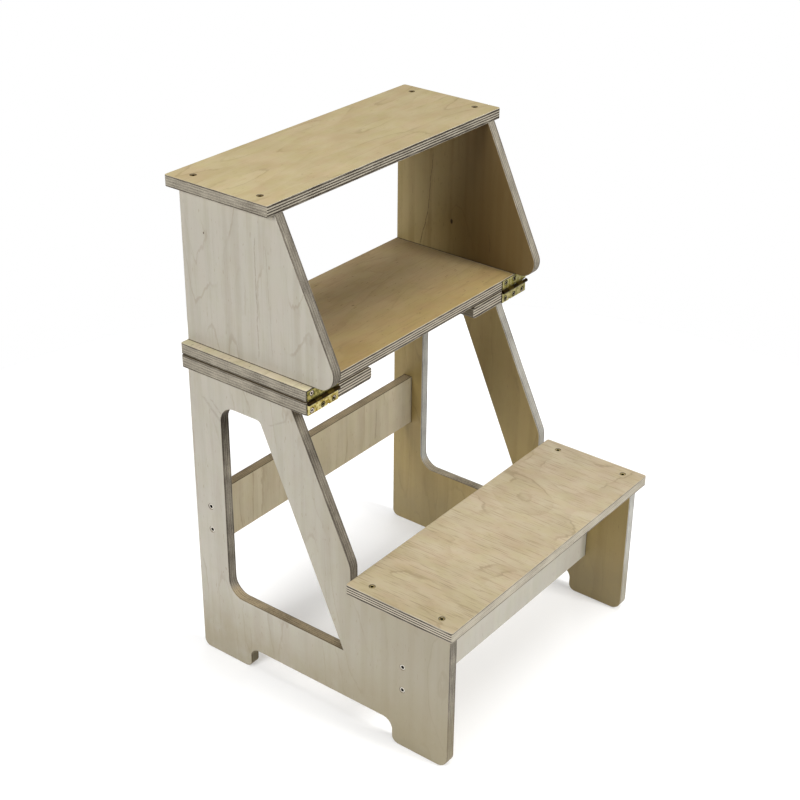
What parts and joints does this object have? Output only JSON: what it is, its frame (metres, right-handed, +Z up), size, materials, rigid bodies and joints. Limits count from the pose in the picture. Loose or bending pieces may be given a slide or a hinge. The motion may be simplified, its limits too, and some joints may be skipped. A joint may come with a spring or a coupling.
{
  "type": "folding step stool chair",
  "caption": "Plywood step stool whose upper steps swing forward on brass hinges and turn it into a low-seated chair.",
  "frame": {"origin": "on the floor, under the middle of the bounding box of the stool as it stands", "axes": "+Z up, +Y from the front low step to the rear, +X to the right of someone who faces the steps; right-handed, because +X is right when looking along +Y"},
  "size_m": [0.47, 0.438, 0.7],
  "materials": {
    "plywood_board": "satin lacquered birch plywood",
    "plywood_panel": "satin lacquered birch plywood",
    "plywood_stretcher": "satin lacquered birch plywood",
    "felt": "dense wool felt",
    "brass": "polished brass plate",
    "hinge_pin_steel": "darkened brass",
    "screw_steel": "dark zinc plated steel",
    "brass_screws": "brass plated"
  },
  "bodies": {
    "base": {"low_step_board": "plywood_board", "seat_board": "plywood_board", "base_left_side_panel": "plywood_panel", "base_right_side_panel": "plywood_panel", "seam_pads": "felt", "rear_stretcher": "plywood_stretcher", "front_rail": "plywood_stretcher", "left_hinge_lower_leaf": "brass", "left_hinge_pin": "hinge_pin_steel", "right_hinge_lower_leaf": "brass", "right_hinge_pin": "hinge_pin_steel", "low_board_screws": "screw_steel", "seat_board_screws": "screw_steel", "left_stretcher_screws": "screw_steel", "left_rail_screws": "screw_steel", "left_hinge_lower_screws": "brass_screws", "right_stretcher_screws": "screw_steel", "right_rail_screws": "screw_steel", "right_hinge_lower_screws": "brass_screws"},
    "upper_unit": {"top_step_board": "plywood_board", "middle_step_board": "plywood_board", "top_board_screws": "screw_steel", "middle_board_screws": "screw_steel", "upper_left_side_panel": "plywood_panel", "left_hinge_upper_leaf": "brass", "left_hinge_upper_screws": "brass_screws", "upper_right_side_panel": "plywood_panel", "right_hinge_upper_leaf": "brass", "right_hinge_upper_screws": "brass_screws"}
  },
  "joints": [
    {"name": "fold", "type": "hinge", "parent": "base", "child": "upper_unit", "pos_m": [0, -0.001, 0.4617], "axis": [1, 0, 0], "range_deg": [0, 180]}
  ]
}
